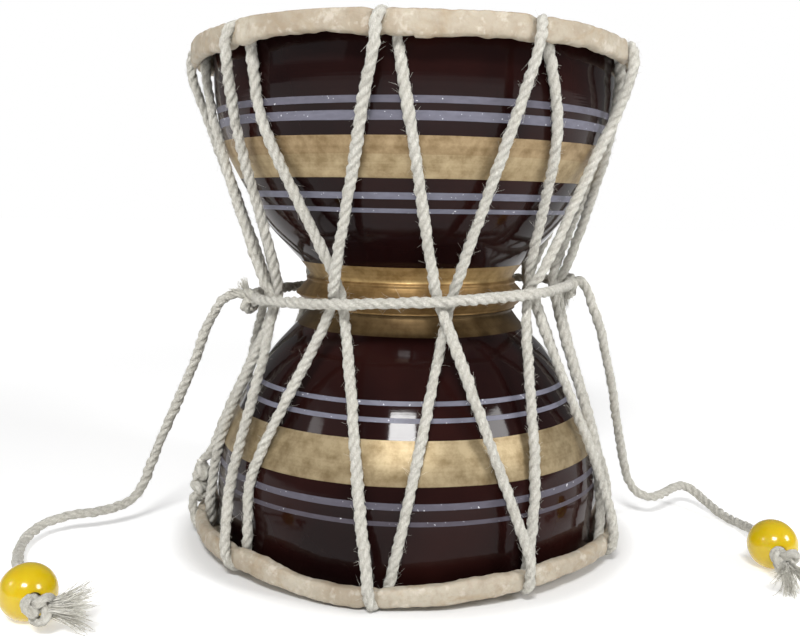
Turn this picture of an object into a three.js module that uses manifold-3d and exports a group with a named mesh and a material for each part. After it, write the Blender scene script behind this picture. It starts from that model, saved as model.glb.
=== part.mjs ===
// Damaru: an hourglass hand drum of lacquered wood with two skin heads. A cotton cord laces
// the heads in two passes, a second cord draws the lacing in at the waist, and two cords
// with a bead each swing from it as strikers.
// Millimetres, +Z up. The origin is the middle of the lower head's flat face.
import * as THREE from 'three';
import { mergeVertices } from 'three/addons/utils/BufferGeometryUtils.js';
import Module from 'manifold-3d';

const wasm = await Module();
wasm.setup();

// Heads: each is one skin, flat across the rim and rolled into a bead outside it.
const rollRadius = 75;
const rollTop = 168.5;
const rollBottom = 2.5;
const rollHeight = 7.4;
const rollWidth = 4;
const skinThickness = 0.9;
const upperProud = 0.4;
const lowerProud = 2.5;
const skinBendRadius = 71.2;
const rollFlatRadius = 73.2;
const rollShoulderRadius = 74.6;
const rollLipRadius = 71.6;

// Body: one turned piece, the two bowls alike about the waist.
const fitGap = 0.3;
const turnSegments = 36;
const middle = (rollTop + rollBottom) / 2;
const waistHeight = middle + 1;
const ringRadius = 40.4;
const rimRadius = 68.4;
const rimInnerRadius = 62.5;
// The flat of each rim, and how far below it the eased edge ends.
const lowerRimFlat = 64.8;
const lowerRimEase = 2.1;
const upperRimFlat = 67.7;
const upperRimEase = 0.8;
// Height from the waist, then radius: the bowl outside, and the hollow inside it.
const bowlOutline = [
  [4.9, 35.4], [9.6, 38.3], [14.2, 42.6], [20.8, 48.6], [28.9, 54.3], [37.5, 59.2],
  [47.5, 64.2], [55.3, 66.2], [65, 67.6],
];
const hollowOutline = [[0, 24], [10, 27], [28, 44], [44, 55.5], [58, 61]];

// Cords.
const cordRadius = 1.6;
const cordGap = 0.35;
const bowlGap = 0.7;
const lacingSides = 5;
const lacingPoints = 10;
const firstAngle = -80.5;
const pointStep = 360 / lacingPoints;
const behindTurn = 3.6;
const crossingTurn = pointStep / 2 + 1.5;
const crossingRadius = 50.6;
const crossingOffset = 2.1;
const legTurnPerHeight = 0.33;
const waistGrip = 0.45;
const shoulderHeights = [58, 47];
// How far each crossing lies above or below the waist cord.
const crossingLifts = [6, 6, -6, 6, 6, -6, 6, -6, 6, -6];
const waistCordRadius = 55.3;
const waistCordEndRadius = 54.7;
const waistCordSides = 6;
// The waist cord lies a little above the ring, and higher at the right and the front.
const waistCordRise = [0.5, 3, 0.7];
const waistTurn = 2.6;
const leftKnotAngle = -80;
const rightKnotAngle = 92;
const knotTurn = 6;
const waistKnotRadius = 56.8;
const waistKnotSize = [4.8, 4.6, 5];
const lacingKnotSize = [4, 4.2, 6];
const lacingKnotHeight = 20.7;
const lacingKnotRadius = 73.6;
const lacingKnotTurn = -2;
const lacingKnotGap = 0.6;

// Each knot is a ball that dents in a spiral, as the strands of a tied cord do.
const knotSegments = [10, 7];
const knotDent = 0.08;
const dentsAround = 3;
const dentTwist = 2;

// Strikers: a bead on the end of each cord, held by an end knot with a frayed tail.
const beadRadius = 8;
const boreRadius = 2.1;
const beadRest = beadRadius + 0.05;
const beadSegments = 14;
const beadArcSteps = 8;
const strikerSides = 8;
const endKnotReach = 13.2;
const endKnotSegments = 10;
// The end knot's lump, its neck and the frayed tail that spreads from it: radius, height.
const endKnotOutline = [
  [0, -4.8], [3.4, -3.6], [4.8, -0.6], [4.4, 2], [2.8, 4.4], [2.3, 6.4], [3.2, 13.4], [0, 13.8],
];

const materials = {
  lacquer: { color: 0x2a1414, roughness: 0.25, metalness: 0 },
  skin: { color: 0xc9b592, roughness: 0.8, metalness: 0 },
  cotton: { color: 0xd2cab9, roughness: 0.95, metalness: 0 },
  beadPaint: { color: 0xe6c414, roughness: 0.3, metalness: 0 },
};

const drum = new THREE.Group();

function addPiece(name, geometry, material) {
  const mesh = new THREE.Mesh(geometry, new THREE.MeshStandardMaterial(materials[material]));
  mesh.name = name;
  drum.add(mesh);
  return mesh;
}

// A point at an angle from the front, turning towards +X, with a radius and a height.
function polar(angle, radius, height) {
  const turn = THREE.MathUtils.degToRad(angle);
  return new THREE.Vector3(radius * Math.sin(turn), -radius * Math.cos(turn), height);
}

function lathe(outline, segments) {
  const points = outline.map(([radius, height]) => new THREE.Vector2(radius, height));
  return new THREE.LatheGeometry(points, segments).rotateX(Math.PI / 2);
}

// A curve whose steps land on the points of its route, however unevenly they are spaced.
class Route extends THREE.Curve {
  constructor(points) {
    super();
    this.points = points;
  }
  getPoint(t) {
    const place = t * (this.points.length - 1);
    const index = Math.min(Math.floor(place + 1e-6), this.points.length - 2);
    return this.points[index].clone().lerp(this.points[index + 1], place - index);
  }
  getPointAt(t) {
    return this.getPoint(t);
  }
  getTangentAt(t) {
    const index = Math.round(t * (this.points.length - 1));
    const before = this.points[Math.max(index - 1, 0)];
    const after = this.points[Math.min(index + 1, this.points.length - 1)];
    return after.clone().sub(before).normalize();
  }
}

function tube(points, radius, sides) {
  const corners = [];
  for (let side = 0; side < sides; side += 1) {
    const turn = (2 * Math.PI * side) / sides;
    corners.push(new THREE.Vector2(radius * Math.cos(turn), radius * Math.sin(turn)));
  }
  return new THREE.ExtrudeGeometry(new THREE.Shape(corners), {
    steps: points.length - 1,
    extrudePath: new Route(points),
    bevelEnabled: false,
  });
}

// --- body ---------------------------------------------------------------------------

function bowlRadius(height) {
  const reach = Math.abs(height - waistHeight);
  for (let index = 1; index < bowlOutline.length; index += 1) {
    const [high, wide] = bowlOutline[index];
    if (reach <= high) {
      const [low, narrow] = bowlOutline[index - 1];
      return narrow + ((wide - narrow) * (reach - low)) / (high - low);
    }
  }
  return rimRadius;
}

// The wood stops under the skin, with its outer edge eased where the skin bends down.
const upperRim = rollTop + upperProud - skinThickness - fitGap;
const lowerRim = skinThickness + fitGap;
const bodyOutline = [
  [rimInnerRadius, lowerRim],
  [lowerRimFlat, lowerRim],
  [rimRadius, lowerRim + lowerRimEase],
  ...bowlOutline.toReversed().map(([reach, radius]) => [radius, waistHeight - reach]),
  [ringRadius, waistHeight],
  ...bowlOutline.map(([reach, radius]) => [radius, waistHeight + reach]),
  [rimRadius, upperRim - upperRimEase],
  [upperRimFlat, upperRim],
  [rimInnerRadius, upperRim],
  ...hollowOutline.toReversed().map(([reach, radius]) => [radius, waistHeight + reach]),
  ...hollowOutline.slice(1).map(([reach, radius]) => [radius, waistHeight - reach]),
  [rimInnerRadius, lowerRim],
];
addPiece('body', lathe(bodyOutline, turnSegments), 'lacquer');

// --- lacing -------------------------------------------------------------------------

// One turn of cord round a roll, from behind it, up through the skin and over its outside.
// Each row is an angle from the lacing point, a radius and a height below the roll's end.
const wrap = [
  [behindTurn, 70.35, 9.2],
  [behindTurn - 0.8, 70.3, 4.4],
  [1.6, 70.9, 1.2],
  [0.8, 73, -0.1],
  [0.1, 75.4, 1.3],
  [-0.4, 76.3, 4.4],
  [-0.8, 76.2, 9.2],
];

function wrapRoute(index, upper) {
  const angle = firstAngle + pointStep * index;
  return wrap.map(([turn, radius, drop]) => {
    const height = upper ? rollTop - drop : rollBottom + drop;
    return polar(angle + turn, radius, height);
  });
}

function waistCordHeight(angle) {
  const turn = THREE.MathUtils.degToRad(angle);
  const [lift, toRight, toFront] = waistCordRise;
  return waistHeight + lift + toRight * Math.sin(turn) + toFront * Math.cos(turn);
}

// A point of a leg moved out until the cord clears the bowl.
function clearOfBowl(point) {
  const slope = bowlRadius(point.z + 0.5) - bowlRadius(point.z - 0.5);
  const least = bowlRadius(point.z) + (cordRadius + bowlGap) * Math.hypot(1, slope);
  const radius = Math.hypot(point.x, point.y);
  const stretch = Math.max(1, least / radius);
  return new THREE.Vector3(point.x * stretch, point.y * stretch, point.z);
}

// A leg runs from the outside of a roll at one lacing point to behind the other roll at the
// point before it. It bears on the shoulders of both bowls, passes under the waist cord and
// crosses a leg of the other pass just above or below it. Side is -1 for the leg beneath.
function legRoute(start, end, crossing, side) {
  const angle = firstAngle + pointStep * crossing + crossingTurn;
  const height = waistCordHeight(angle);
  const lift = crossingLifts[(crossing + lacingPoints) % lacingPoints];
  const rising = Math.sign(end.z - start.z);
  const outward = polar(angle, side * crossingOffset, 0);
  const waist = polar(angle + rising * lift * legTurnPerHeight, crossingRadius, height);
  const partWay = (from, targetHeight) => {
    const share = (targetHeight - from.z) / (waist.z - from.z);
    return from.clone().lerp(waist, share);
  };
  const shoulders = (from, direction) => shoulderHeights.map(
    (reach) => clearOfBowl(partWay(from, waistHeight + direction * reach)),
  );
  const crossesAfter = rising * lift > 0;
  const crossed = partWay(crossesAfter ? end : start, height + lift).add(outward);
  const gripped = waist.clone().addScaledVector(outward, waistGrip);
  return [
    ...shoulders(start, -rising),
    ...(crossesAfter ? [gripped, crossed] : [crossed, gripped]),
    ...shoulders(end, rising).toReversed(),
  ];
}

// A pass starts above its knot, goes once round the drum in ten legs and ends below it.
function lacingRoute(startIndex, side) {
  const route = [];
  let upper = true;
  let from = wrapRoute(startIndex, false).at(-1);
  for (let leg = 0; leg < lacingPoints; leg += 1) {
    const index = startIndex - leg - 1;
    const turn = wrapRoute(index, upper);
    route.push(...legRoute(from, turn[0], index, side), ...turn);
    from = turn.at(-1);
    upper = !upper;
  }
  return route;
}

function knotPlace(startIndex) {
  const angle = firstAngle + pointStep * startIndex + lacingKnotTurn;
  return polar(angle, lacingKnotRadius, lacingKnotHeight);
}

function tiedKnot(size) {
  const geometry = new THREE.SphereGeometry(1, ...knotSegments);
  const positions = geometry.getAttribute('position');
  for (let index = 0; index < positions.count; index += 1) {
    const place = new THREE.Vector3().fromBufferAttribute(positions, index);
    const strand = dentsAround * Math.atan2(place.z, place.x) + dentTwist * place.y;
    const swell = 1 - knotDent * (1 + Math.cos(strand)) * Math.hypot(place.x, place.z);
    positions.setXYZ(index, place.x * size[0] * swell, place.y * size[1], place.z * size[2] * swell);
  }
  return geometry;
}

const passes = [
  { name: 'first', startIndex: 0, side: -1, knot: 'lacing_knot_left' },
  { name: 'second', startIndex: 7, side: 1, knot: 'lacing_knot_back' },
];
for (const pass of passes) {
  const place = knotPlace(pass.startIndex);
  const reach = lacingKnotSize[2] + lacingKnotGap;
  const route = lacingRoute(pass.startIndex, pass.side);
  route.unshift(place.clone().setZ(place.z + reach));
  route.push(place.clone().setZ(place.z - reach));
  addPiece(`lacing_${pass.name}_pass`, tube(route, cordRadius, lacingSides), 'cotton');
  const knot = addPiece(pass.knot, tiedKnot(lacingKnotSize), 'cotton');
  knot.position.copy(place);
  knot.rotation.z = THREE.MathUtils.degToRad(firstAngle + pointStep * pass.startIndex);
}

// --- heads --------------------------------------------------------------------------

// Radius, then depth from the flat face: skin across the top, the roll, and back under it.
function headOutline(proud) {
  const shoulder = 70 - 1.6 * proud;
  const inner = rollRadius - rollWidth;
  return [
    [0, 0],
    [shoulder, 0],
    [skinBendRadius, proud - 0.1],
    [rollFlatRadius, proud],
    [rollShoulderRadius, proud + 1.1],
    [rollRadius, proud + rollHeight / 2],
    [rollShoulderRadius, proud + rollHeight - 1.3],
    [rollFlatRadius, proud + rollHeight],
    [rollLipRadius, proud + rollHeight - 0.7],
    [inner, proud + rollHeight / 2],
    [inner - 0.3, proud + 1.4],
    [shoulder - 0.4, skinThickness],
    [0, skinThickness],
  ];
}

function toSolid(geometry) {
  const bare = geometry.clone();
  bare.deleteAttribute('normal');
  bare.deleteAttribute('uv');
  const merged = mergeVertices(bare, 1e-4);
  return new wasm.Manifold(new wasm.Mesh({
    numProp: 3,
    vertProperties: Float32Array.from(merged.getAttribute('position').array),
    triVerts: Uint32Array.from(merged.getIndex().array),
  }));
}

function toGeometry(solid) {
  const mesh = solid.getMesh();
  const geometry = new THREE.BufferGeometry();
  geometry.setAttribute('position', new THREE.BufferAttribute(mesh.vertProperties, 3));
  geometry.setIndex(new THREE.BufferAttribute(mesh.triVerts, 1));
  return geometry;
}

// Each head has a channel for every turn of cord round its roll.
function head(outline, upper) {
  let solid = toSolid(lathe(outline, turnSegments));
  for (let index = 0; index < lacingPoints; index += 1) {
    const channel = tube(wrapRoute(index, upper), (cordRadius + cordGap) * Math.SQRT2, 4);
    solid = solid.subtract(toSolid(channel));
  }
  return toGeometry(solid);
}

const upperFace = rollTop + upperProud;
const upperOutline = headOutline(upperProud).map(([radius, depth]) => [radius, upperFace - depth]);
const lowerOutline = headOutline(lowerProud);
addPiece('upper_head', head(upperOutline.toReversed(), true), 'skin');
addPiece('lower_head', head(lowerOutline, false), 'skin');

// --- waist cord ---------------------------------------------------------------------

// The waist cord lies over every crossing and runs straight from one to the next.
function waistRoute(fromAngle, toAngle) {
  const ends = (angle) => polar(angle, waistCordEndRadius, waistCordHeight(angle));
  const route = [ends(fromAngle)];
  for (let crossing = -1; crossing < 2 * lacingPoints; crossing += 1) {
    const angle = firstAngle + pointStep * crossing + crossingTurn;
    for (const turned of [angle - waistTurn, angle + waistTurn]) {
      if (turned > fromAngle + 1 && turned < toAngle - 1) {
        route.push(polar(turned, waistCordRadius, waistCordHeight(turned)));
      }
    }
  }
  route.push(ends(toAngle));
  return route;
}

const runs = [
  { name: 'front', from: leftKnotAngle + knotTurn, to: rightKnotAngle - knotTurn },
  { name: 'back', from: rightKnotAngle + knotTurn, to: leftKnotAngle + 360 - knotTurn },
];
for (const run of runs) {
  const route = waistRoute(run.from, run.to);
  addPiece(`waist_cord_${run.name}`, tube(route, cordRadius, waistCordSides), 'cotton');
}
for (const [name, angle] of [['left', leftKnotAngle], ['right', rightKnotAngle]]) {
  const knot = addPiece(`waist_knot_${name}`, tiedKnot(waistKnotSize), 'cotton');
  knot.position.copy(polar(angle, waistKnotRadius, waistCordHeight(angle)));
  knot.rotation.z = THREE.MathUtils.degToRad(angle + 90);
}

// --- strikers -----------------------------------------------------------------------

// Each cord leaves its waist knot, drops to the floor and lies to its bead.
const leftCordRoute = [
  [-62.6, -10, 82.2], [-65.7, -9.5, 78.2], [-70.5, -8.7, 71], [-74.2, -8, 63.5],
  [-77.4, -7.3, 56], [-81.2, -6.6, 47.5], [-85.5, -5.7, 38], [-89.3, -4.9, 29.5],
  [-92.8, -4.2, 21], [-95.8, -3.6, 13.8], [-99.4, -5, 9.2], [-105.2, -9.2, 7.2],
  [-112, -12.8, 6.8], [-118.5, -15.2, 6.4], [-123.8, -18.8, 5.4], [-126.8, -25.5, 4.2],
  [-126.3, -36.3, 3.2], [-122.8, -47, 3.4], [-118, -58, 4.8], [-112.8, -68.6, 7],
];
const rightCordRoute = [
  [62.6, 1.6, 87.2], [65, 1.6, 81.6], [68, 2, 74.2], [70.9, 3.4, 63.8],
  [73.9, 5.4, 52.9], [76.4, 7.8, 41.4], [78.9, 10.2, 31], [81.3, 12.2, 21.8],
  [83.8, 13.8, 14], [87.2, 13.4, 9.6], [91.6, 12, 8.2], [96, 14.2, 8.4],
  [100.4, 18.4, 8.8], [105, 23.6, 8.8], [109.2, 26.8, 8], [113.2, 25, 6.2],
  [115.8, 19.2, 4.2], [118.2, 12.6, 2.7], [120.4, 4.6, 2.4], [121.9, -4.4, 3.4],
  [122.1, -13.4, 5.2], [121.6, -21.4, 7.1],
];

function striker(name, listed, centre, heading, tail, steps) {
  const bore = new THREE.Vector3(...heading).normalize();
  const middlePoint = new THREE.Vector3(...centre);
  const along = (reach) => middlePoint.clone().addScaledVector(bore, reach);
  const points = listed.map((place) => new THREE.Vector3(...place));
  points.push(along(-beadRadius), along(0), along(beadRadius));
  const route = new THREE.CatmullRomCurve3(points, false, 'centripetal').getSpacedPoints(steps);
  addPiece(`striker_cord_${name}`, tube(route, cordRadius, strikerSides), 'cotton');

  const bead = addPiece(`bead_${name}`, lathe(beadOutline(), beadSegments), 'beadPaint');
  bead.position.copy(middlePoint);
  bead.quaternion.setFromUnitVectors(new THREE.Vector3(0, 0, 1), bore);

  const knot = addPiece(`bead_knot_${name}`, lathe(endKnotOutline, endKnotSegments), 'cotton');
  knot.position.copy(along(endKnotReach));
  const tailway = new THREE.Vector3(...tail).normalize();
  knot.quaternion.setFromUnitVectors(new THREE.Vector3(0, 0, 1), tailway);
}

// The round of the bead from one mouth of its bore to the other, then back along the bore.
function beadOutline() {
  const outline = [];
  const mouth = Math.asin(boreRadius / beadRadius);
  for (let step = 0; step <= beadArcSteps; step += 1) {
    const turn = mouth + ((Math.PI - 2 * mouth) * step) / beadArcSteps;
    outline.push([beadRadius * Math.sin(turn), -beadRadius * Math.cos(turn)]);
  }
  outline.push(outline[0]);
  return outline;
}

striker('left', leftCordRoute, [-105, -82, beadRest], [0.55, -0.83, 0.02], [0.96, 0.25, -0.1], 30);
striker('right', rightCordRoute, [120.3, -35, beadRest], [-0.08, -1, -0.04], [-0.15, -0.94, -0.26], 32);

export default drum;
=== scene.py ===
import math

import bpy
import numpy as np
from mathutils import Matrix, Vector


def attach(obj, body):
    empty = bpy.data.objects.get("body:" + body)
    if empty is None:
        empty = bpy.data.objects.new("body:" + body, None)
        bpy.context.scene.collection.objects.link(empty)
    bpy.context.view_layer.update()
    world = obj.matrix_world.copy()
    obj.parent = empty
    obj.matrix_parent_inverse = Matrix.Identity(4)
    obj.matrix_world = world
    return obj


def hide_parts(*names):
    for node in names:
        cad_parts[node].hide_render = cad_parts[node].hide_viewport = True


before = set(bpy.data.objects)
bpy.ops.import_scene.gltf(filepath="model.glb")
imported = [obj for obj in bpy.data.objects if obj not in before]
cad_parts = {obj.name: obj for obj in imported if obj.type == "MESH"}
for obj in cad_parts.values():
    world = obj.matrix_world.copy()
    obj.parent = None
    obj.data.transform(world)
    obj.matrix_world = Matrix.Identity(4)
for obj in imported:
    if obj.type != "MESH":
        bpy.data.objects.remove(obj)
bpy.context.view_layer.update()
print("frame loaded")

# Lengths are in millimetres here, and toMetres turns them into the scene's metres.
toMetres = 0.001

# Camera.
camera = {
    "place": (0, -330, 117.9),
    "pitch": -7.239,
    "yaw": 0.100,
    "roll": 1.034,
    "lens": 41.98,
    "sensor": 36,
    "shiftX": -0.015,
    "clip": (0.01, 50),  # nearest and farthest, in metres
}


def unit(vectors):
    return vectors / np.maximum(np.linalg.norm(vectors, axis=-1, keepdims=True), 1e-12)


def addObject(name, data):
    made = bpy.data.objects.new(name, data)
    bpy.context.scene.collection.objects.link(made)
    return made


def makeCamera():
    # The view's axes: forward from yaw and pitch, then right and up turned by the roll.
    pitch, yaw, roll = (math.radians(camera[k]) for k in ("pitch", "yaw", "roll"))
    forward = np.array([math.sin(yaw) * math.cos(pitch), math.cos(yaw) * math.cos(pitch), math.sin(pitch)])
    level = np.array([math.cos(yaw), -math.sin(yaw), 0])
    upright = np.cross(level, forward)
    right = math.cos(roll) * level + math.sin(roll) * upright
    up = -math.sin(roll) * level + math.cos(roll) * upright
    data = bpy.data.cameras.new("camera")
    data.lens = camera["lens"]
    data.sensor_width = camera["sensor"]
    data.shift_x = camera["shiftX"]
    data.clip_start, data.clip_end = camera["clip"]
    seen = addObject("camera", data)
    matrix = np.eye(4)
    matrix[:3, 0], matrix[:3, 1], matrix[:3, 2] = right, up, -forward
    matrix[:3, 3] = np.array(camera["place"]) * toMetres
    seen.matrix_world = Matrix(matrix.tolist())
    bpy.context.scene.camera = seen


makeCamera()
print("camera placed")


# Helpers: noise, paths, meshes.
def valueNoise(points, size, seed):
    # Smooth noise between -1 and 1: a hashed value at each corner of a grid of cells,
    # blended across the cell by 3t^2 - 2t^3 along each axis.
    scaled = np.asarray(points, float) / size + 1000.0
    cell = np.floor(scaled).astype(np.int64)
    part = scaled - cell
    part = part * part * (3 - 2 * part)
    total = np.zeros(cell.shape[:-1])
    for corner in range(8):
        offset = np.array([corner & 1, corner >> 1 & 1, corner >> 2 & 1])
        place = cell + offset
        mixed = (place[..., 0] * 73856093) ^ (place[..., 1] * 19349663) ^ (place[..., 2] * 83492791)
        mixed = mixed ^ (seed * 2654435)
        mixed = (mixed ^ (mixed >> 13)) * 1274126177 & 0x7FFFFFFF
        mixed = (mixed ^ (mixed >> 16)) & 0xFFFF
        weight = np.prod(np.where(offset == 1, part, 1 - part), axis=-1)
        total += weight * (mixed / 32767.5 - 1)
    return total


def lineNoise(places, size, seed):
    # The same noise along one line.
    places = np.asarray(places, float)
    return valueNoise(np.stack([places, np.zeros_like(places), np.zeros_like(places)], -1), size, seed)


def polar(angle, radius, height):
    # A point at an angle from the front, turning towards +X.
    turn = np.radians(angle)
    place = np.broadcast_arrays(radius * np.sin(turn), -radius * np.cos(turn), height)
    return np.stack(place, -1).astype(float)


def evenly(points, step):
    # The points of a polyline at even distances along it.
    reach = np.concatenate([[0], np.cumsum(np.linalg.norm(np.diff(points, axis=0), axis=1))])
    count = max(int(round(reach[-1] / step)), 2)
    wanted = np.linspace(0, reach[-1], count + 1)
    return np.stack([np.interp(wanted, reach, points[:, axis]) for axis in range(points.shape[1])], -1)


def smoothPath(route, step, fine=24):
    # A centripetal Catmull-Rom curve: in each span, the blend of blends of its four
    # points, with knots as far apart as the square root of the points' distance.
    route = np.asarray(route, float)
    ends = np.vstack([2 * route[0] - route[1], route, 2 * route[-1] - route[-2]])
    gaps = np.sqrt(np.maximum(np.linalg.norm(np.diff(ends, axis=0), axis=1), 1e-9))
    knots = np.concatenate([[0], np.cumsum(gaps)])
    a, b, c, d = ends[:-3, None], ends[1:-2, None], ends[2:-1, None], ends[3:, None]
    ta, tb, tc, td = (knots[i:len(knots) - 3 + i, None, None] for i in range(4))
    t = tb + (tc - tb) * np.linspace(0, 1, fine, endpoint=False)[None, :, None]
    ab = a * (tb - t) / (tb - ta) + b * (t - ta) / (tb - ta)
    bc = b * (tc - t) / (tc - tb) + c * (t - tb) / (tc - tb)
    cd = c * (td - t) / (td - tc) + d * (t - tc) / (td - tc)
    abc = ab * (tc - t) / (tc - ta) + bc * (t - ta) / (tc - ta)
    bcd = bc * (td - t) / (td - tb) + cd * (t - tb) / (td - tb)
    curve = abc * (tc - t) / (tc - tb) + bcd * (t - tb) / (tc - tb)
    return evenly(np.vstack([curve.reshape(-1, route.shape[1]), route[-1:]]), step)


def tubeQuads(rows, columns):
    # Corner numbers of the quads round a tube whose point (row, column) is row * columns + column.
    row, column = np.meshgrid(np.arange(rows - 1), np.arange(columns), indexing="ij")
    beside = (column + 1) % columns
    quads = np.stack([row * columns + column, row * columns + beside,
                      (row + 1) * columns + beside, (row + 1) * columns + column], -1)
    return quads.reshape(-1, 4)


def endFans(rows, columns):
    # Triangles that close a tube's ends on two middle points, numbered after the tube's own.
    ring = np.arange(columns)
    beside = (ring + 1) % columns
    last = (rows - 1) * columns
    return np.vstack([np.stack([np.full(columns, rows * columns), beside, ring], -1),
                      np.stack([np.full(columns, rows * columns + 1), last + ring, last + beside], -1)])


def spun(profile, segments):
    # A closed profile of radius and height spun round the axis: points, quads, no triangles.
    angles = np.arange(segments) * 360 / segments
    points = polar(angles[None, :], profile[:, :1], profile[:, 1:])
    rows, columns = points.shape[:2]
    ring = np.arange(columns)
    beside = (ring + 1) % columns
    last = (rows - 1) * columns
    closing = np.stack([last + ring, last + beside, beside, ring], -1)
    return points.reshape(-1, 3), np.vstack([tubeQuads(rows, columns), closing]), np.zeros((0, 3), int)


def makeMesh(name, shape, material, replaced=()):
    # The shape is points, quads and triangles, and for a cord its uv: one pair for each
    # corner, the quads' corners first and then the triangles'.
    points, quads, triangles, *uv = shape
    mesh = bpy.data.meshes.new(name)
    corners = np.concatenate([quads.ravel(), triangles.ravel()]).astype(np.int32)
    sizes = np.concatenate([np.full(len(quads), 4), np.full(len(triangles), 3)]).astype(np.int32)
    starts = (np.cumsum(sizes) - sizes).astype(np.int32)
    mesh.vertices.add(len(points))
    mesh.vertices.foreach_set("co", (np.asarray(points) * toMetres).astype(np.float32).ravel())
    mesh.loops.add(len(corners))
    mesh.loops.foreach_set("vertex_index", corners)
    mesh.polygons.add(len(sizes))
    mesh.polygons.foreach_set("loop_start", starts)
    mesh.polygons.foreach_set("use_smooth", np.ones(len(sizes), bool))
    if uv:
        mesh.uv_layers.new(name="along").data.foreach_set("uv", np.asarray(uv[0], np.float32).ravel())
    mesh.update(calc_edges=True)
    mesh.validate()
    piece = addObject(name, mesh)
    mesh.materials.append(material)
    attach(piece, "root")
    if replaced:
        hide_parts(*replaced)
    return piece


# Helpers: materials.
def addNode(tree, kind, inputs=None, **settings):
    node = tree.nodes.new(kind)
    for key, value in settings.items():
        setattr(node, key, value)
    for socket, value in (inputs or {}).items():
        if isinstance(value, bpy.types.NodeSocket):
            tree.links.new(value, node.inputs[socket])
        else:
            node.inputs[socket].default_value = value
    return node


def maths(tree, operation, first, second=0.0, third=0.0):
    return addNode(tree, "ShaderNodeMath", {0: first, 1: second, 2: third}, operation=operation).outputs[0]


def times(tree, first, second):
    return maths(tree, "MULTIPLY", first, second)


def timesPlus(tree, first, second, third):
    return maths(tree, "MULTIPLY_ADD", first, second, third)


def mapRange(tree, value, low, high, top, **settings):
    # 0 up to low, top from high on, and rising between them.
    inputs = {"Value": value, "From Min": low, "From Max": high, "To Max": top}
    return addNode(tree, "ShaderNodeMapRange", inputs, **settings).outputs["Result"]


def objectPlace(tree):
    return addNode(tree, "ShaderNodeTexCoord").outputs["Object"]


def noiseFac(tree, vector, scale, detail=2.0, roughness=0.5, distortion=0.0):
    return addNode(tree, "ShaderNodeTexNoise", {"Vector": vector, "Scale": scale, "Detail": detail,
                   "Roughness": roughness, "Distortion": distortion}).outputs["Fac"]


def stretch(tree, vector, scale):
    return addNode(tree, "ShaderNodeMapping", {"Vector": vector, "Scale": scale}).outputs["Vector"]


def ramp(tree, fac, stops, interpolation="LINEAR"):
    node = addNode(tree, "ShaderNodeValToRGB", {"Fac": fac})
    node.color_ramp.interpolation = interpolation
    elements = node.color_ramp.elements
    while len(elements) < len(stops):
        elements.new(0.5)
    for element, (place, value) in zip(elements, sorted(stops)):
        element.position = place
    for element, (place, value) in zip(elements, sorted(stops)):
        element.color = (value, value, value, 1)
    return node.outputs["Color"]


def rise(tree, fac, low, high):
    return ramp(tree, fac, [(low, 0.0), (high, 1.0)])


def mixColour(tree, fac, first, second, blend="MIX"):
    node = addNode(tree, "ShaderNodeMix", data_type="RGBA", blend_type=blend)
    for index, value in ((0, fac), (6, first), (7, second)):
        if isinstance(value, bpy.types.NodeSocket):
            tree.links.new(value, node.inputs[index])
        else:
            node.inputs[index].default_value = value if index == 0 else (*value, 1)
    return node.outputs[2]


def bump(tree, height, strength, distance):
    inputs = {"Height": height, "Strength": strength, "Distance": distance}
    return addNode(tree, "ShaderNodeBump", inputs).outputs["Normal"]


def startMaterial(name, **values):
    material = bpy.data.materials.new(name)
    material.use_nodes = True
    tree = material.node_tree
    shader = tree.nodes["Principled BSDF"]
    for socket, value in values.items():
        shader.inputs[socket.replace("_", " ")].default_value = value
    return material, tree, shader


def finishMaterial(tree, shader, **sockets):
    for socket, value in sockets.items():
        tree.links.new(value, shader.inputs[socket.replace("_", " ")])


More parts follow.
